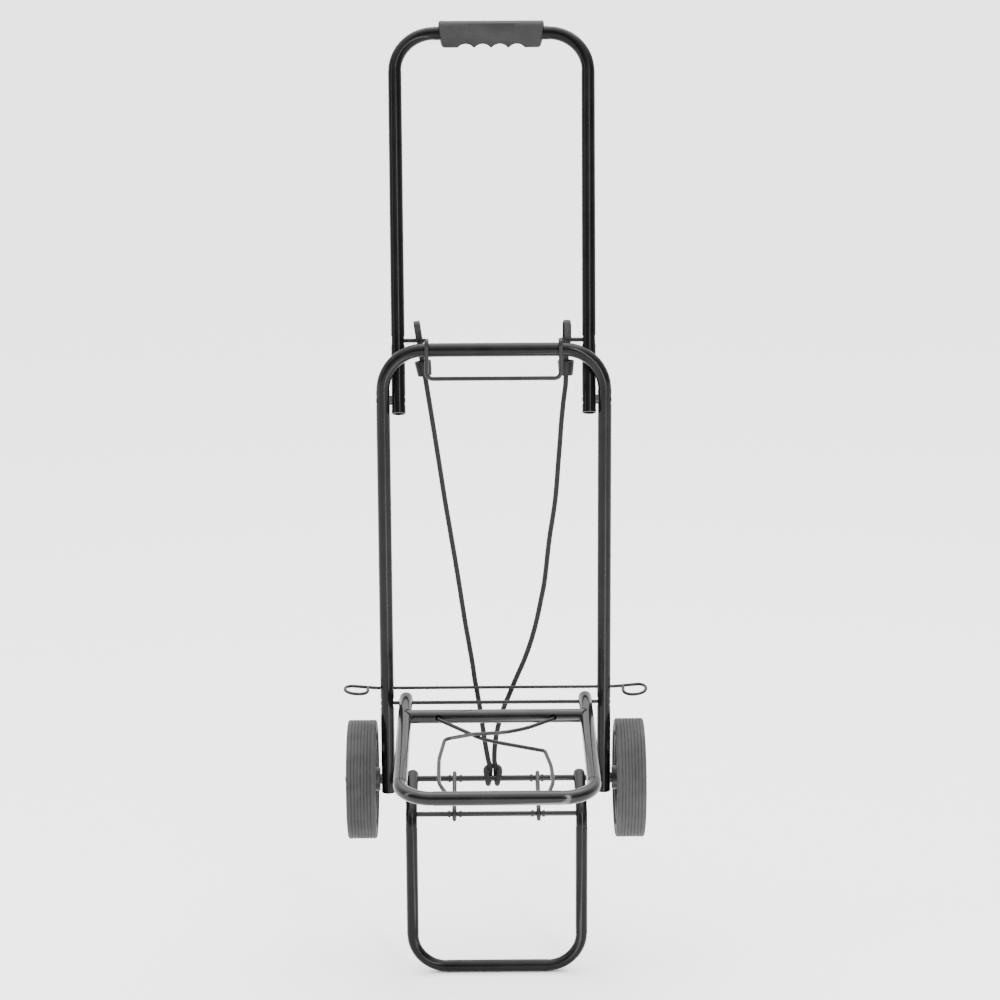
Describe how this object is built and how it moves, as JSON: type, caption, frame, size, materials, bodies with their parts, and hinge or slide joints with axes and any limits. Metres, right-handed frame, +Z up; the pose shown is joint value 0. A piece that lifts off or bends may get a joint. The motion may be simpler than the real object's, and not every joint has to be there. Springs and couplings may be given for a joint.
{
  "type": "folding luggage cart",
  "caption": "Folding luggage cart: bent tube frame and handle on two wheels, with a fold-down platform, a swinging foot, a latch bail and an elastic cord with hooks.",
  "frame": {"origin": "under the middle of the cart's box, level with the hanging foot's lowest point", "axes": "+Z up along the uprights, +Y toward the back, where the handle leans, +X to the right seen from the platform's side"},
  "size_m": [0.3576, 0.4538, 1.0916],
  "materials": {
    "frame_black": "gloss black powder coat on bent steel tube",
    "handle_black": "gloss black powder coat on bent steel tube",
    "platform_black": "gloss black powder coat on bent steel tube",
    "foot_black": "gloss black powder coat on bent steel tube",
    "wire_black": "satin black coating on steel wire and rod",
    "rivet_dark": "satin black coating on rivets, spacers and caps",
    "grip_grey": "dark grey moulded plastic with a fine grain",
    "hook_grey": "dark grey moulded plastic",
    "socket_grey": "dark grey moulded plastic",
    "rim_black": "black moulded plastic",
    "bush_grey": "dark grey plastic bush",
    "tyre_grey": "grey-black ribbed rubber",
    "cord_black": "braided cover of an elastic cord"
  },
  "bodies": {
    "frame": {"main_frame": "frame_black", "pivot_rivets": "rivet_dark", "pivot_spacers": "rivet_dark", "platform_pivot_rod": "wire_black", "side_hook_wire": "wire_black", "axle": "wire_black", "axle_washers": "rivet_dark", "axle_caps": "rivet_dark", "cord_left": "cord_black", "cord_right": "cord_black", "cord_knot": "cord_black"},
    "handle": {"handle_tube": "handle_black", "handle_grip": "grip_grey", "hook_left": "hook_grey", "hook_right": "hook_grey", "hook_socket_left": "socket_grey", "hook_socket_right": "socket_grey"},
    "bail": {"latch_bail": "wire_black"},
    "platform": {"platform_tube": "platform_black", "platform_cross_tube": "platform_black", "platform_spring_wire": "wire_black"},
    "foot": {"foot_tube": "foot_black", "foot_cross_rod": "wire_black", "foot_link_rings": "wire_black"},
    "wheel_left": {"wheel_rim_left": "rim_black", "wheel_tyre_left": "tyre_grey", "wheel_bush_left": "bush_grey"},
    "wheel_right": {"wheel_rim_right": "rim_black", "wheel_tyre_right": "tyre_grey", "wheel_bush_right": "bush_grey"}
  },
  "joints": [
    {"name": "handle_fold", "type": "hinge", "parent": "frame", "child": "handle", "pos_m": [0, 0.04765, 0.6695], "axis": [-1, 0, 0], "range_deg": [0, 150], "deforming": ["latch_bail", "cord_left", "cord_right"]},
    {"name": "bail_lift", "type": "hinge", "parent": "handle", "child": "bail", "pos_m": [0, 0.07387, 0.7344], "axis": [-1, 0, 0], "range_deg": [0, 120]},
    {"name": "platform_fold", "type": "hinge", "parent": "frame", "child": "platform", "pos_m": [0, 0.04765, 0.3082], "axis": [-1, 0, 0], "range_deg": [0, 90]},
    {"name": "foot_swing", "type": "hinge", "parent": "frame", "child": "foot", "pos_m": [0, 0.04765, 0.2145], "axis": [-1, 0, 0], "range_deg": [0, 84]},
    {"name": "wheel_left_spin", "type": "hinge", "parent": "frame", "child": "wheel_left", "pos_m": [-0.1575, 0.04765, 0.2145], "axis": [-1, 0, 0], "continuous": true},
    {"name": "wheel_right_spin", "type": "hinge", "parent": "frame", "child": "wheel_right", "pos_m": [0.1575, 0.04765, 0.2145], "axis": [-1, 0, 0], "continuous": true}
  ]
}
